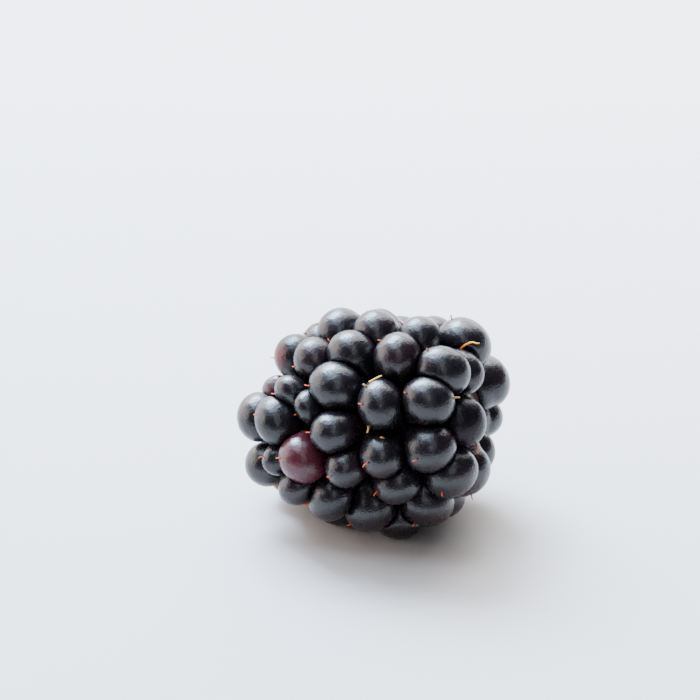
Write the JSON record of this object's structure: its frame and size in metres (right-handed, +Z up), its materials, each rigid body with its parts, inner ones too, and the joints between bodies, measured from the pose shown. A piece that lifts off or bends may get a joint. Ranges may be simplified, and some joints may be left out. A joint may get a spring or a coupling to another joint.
{
  "type": "bramble berry",
  "caption": "Ripe aggregate fruit: rounded drupelets packed round a tapered receptacle, picked, lying on its flank.",
  "frame": {"origin": "middle of the bounding box, on the surface the berry lies on", "axes": "+Z up; +X level along the berry from its tip to its stalk end; -Y is the front"},
  "size_m": [0.0266, 0.0232, 0.0221],
  "materials": {
    "drupelet_skin": "satin blue-black fruit skin",
    "red_drupelet_skin": "satin wine-red fruit skin",
    "receptacle_flesh": "dull pale green flesh",
    "style": "dry orange-brown threads"
  },
  "bodies": {
    "root": {"drupelet_a1": "drupelet_skin", "drupelet_a2": "drupelet_skin", "drupelet_a3": "drupelet_skin", "drupelet_a4": "drupelet_skin", "drupelet_a5": "drupelet_skin", "drupelet_a6": "drupelet_skin", "drupelet_a7": "drupelet_skin", "drupelet_b1": "drupelet_skin", "drupelet_b2": "drupelet_skin", "drupelet_b3": "drupelet_skin", "drupelet_b4": "drupelet_skin", "drupelet_b5": "drupelet_skin", "drupelet_c1": "drupelet_skin", "drupelet_c2": "drupelet_skin", "drupelet_c3": "drupelet_skin", "drupelet_c4": "drupelet_skin", "drupelet_c5": "drupelet_skin", "drupelet_c6": "drupelet_skin", "drupelet_c7": "drupelet_skin", "drupelet_c8": "drupelet_skin", "drupelet_d1": "drupelet_skin", "drupelet_d2": "drupelet_skin", "drupelet_d3": "drupelet_skin", "drupelet_d4": "drupelet_skin", "drupelet_d5": "drupelet_skin", "drupelet_d6": "drupelet_skin", "drupelet_d7": "drupelet_skin", "drupelet_e1": "drupelet_skin", "drupelet_e2": "drupelet_skin", "drupelet_e3": "drupelet_skin", "drupelet_e4": "drupelet_skin", "drupelet_e5": "drupelet_skin", "drupelet_e6": "red_drupelet_skin", "drupelet_f1": "drupelet_skin", "drupelet_f2": "drupelet_skin", "drupelet_f3": "drupelet_skin", "drupelet_f4": "drupelet_skin", "drupelet_f5": "drupelet_skin", "drupelet_f6": "drupelet_skin", "drupelet_f7": "drupelet_skin", "drupelet_g1": "drupelet_skin", "drupelet_g2": "drupelet_skin", "drupelet_g3": "drupelet_skin", "drupelet_h1": "drupelet_skin", "drupelet_h2": "drupelet_skin", "drupelet_h3": "drupelet_skin", "drupelet_i1": "drupelet_skin", "drupelet_i2": "drupelet_skin", "drupelet_i3": "drupelet_skin", "drupelet_i4": "drupelet_skin", "drupelet_j1": "drupelet_skin", "drupelet_j2": "drupelet_skin", "drupelet_j3": "drupelet_skin", "drupelet_j4": "drupelet_skin", "drupelet_k1": "drupelet_skin", "drupelet_k2": "drupelet_skin", "drupelet_k3": "drupelet_skin", "drupelet_l1": "drupelet_skin", "drupelet_l2": "drupelet_skin", "receptacle": "receptacle_flesh"}
  },
  "joints": []
}
